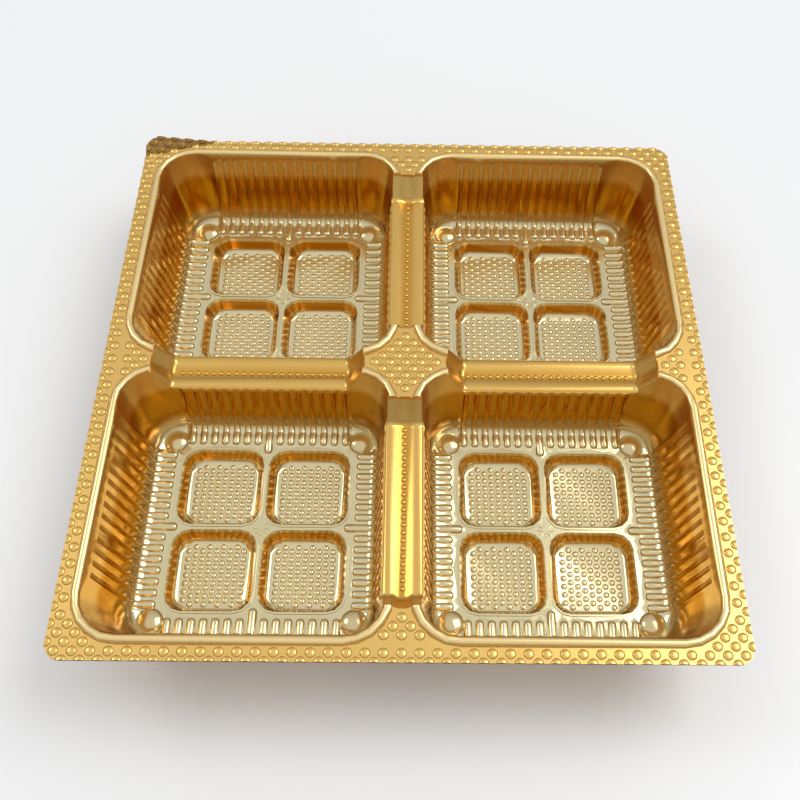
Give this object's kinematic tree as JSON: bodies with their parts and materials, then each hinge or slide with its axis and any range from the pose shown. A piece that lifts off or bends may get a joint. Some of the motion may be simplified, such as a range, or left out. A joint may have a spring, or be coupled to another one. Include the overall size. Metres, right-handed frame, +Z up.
{
  "type": "thermoformed plastic tray",
  "caption": "Square drawn tray with open cavities round a star-shaped island, rolled lips, lowered dividers and pocketed, ribbed floors",
  "frame": {"origin": "centre of the tray's footprint, on the table under the pockets", "axes": "+Z up out of the cavities; X and Y along the flange edges, +Y towards the back edge; the bent flange corner is at -X +Y"},
  "size_m": [0.17, 0.17, 0.0324],
  "materials": {
    "sheet": "metallic gold film, satin on the flange and glossier in the cavities"
  },
  "bodies": {
    "root": {"tray": "sheet"}
  },
  "joints": []
}
